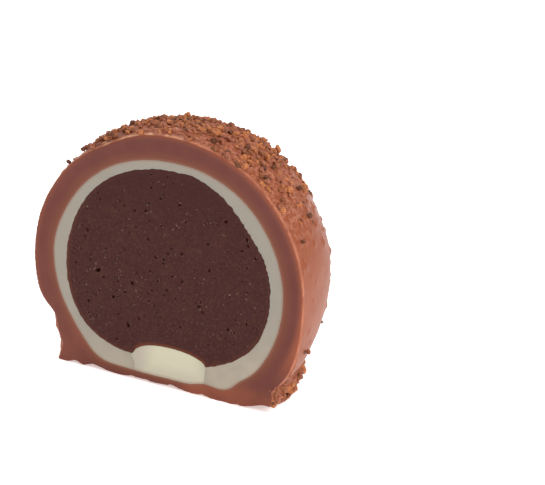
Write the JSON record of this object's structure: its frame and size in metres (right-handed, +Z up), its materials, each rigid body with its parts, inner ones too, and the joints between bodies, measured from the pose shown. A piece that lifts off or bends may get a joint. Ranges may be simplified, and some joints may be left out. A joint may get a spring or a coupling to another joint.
{
  "type": "chocolate praline",
  "caption": "Cut chocolate praline: crumbed milk chocolate ball on a flat foot, sliced open to show a white chocolate shell, dark ganache and an ivory plug.",
  "frame": {"origin": "on the flat base, under the centre of the praline's ball", "axes": "+Z up from the base; the flat cut face looks along -Y; +X to the right as one looks at the cut face"},
  "size_m": [0.03, 0.0181, 0.0267],
  "materials": {
    "milk_chocolate": "satin milk chocolate with nougat crumbs on its outside and a smooth matt cut face",
    "white_chocolate": "pale grey-cream white chocolate, smooth and matt where cut",
    "dark_ganache": "dense dark ganache, matt, with small pits and pale specks",
    "ivory_chocolate": "warm ivory white chocolate, smooth"
  },
  "bodies": {
    "root": {"milk_coating": "milk_chocolate", "white_shell": "white_chocolate", "ganache": "dark_ganache", "base_plug": "ivory_chocolate"}
  },
  "joints": []
}
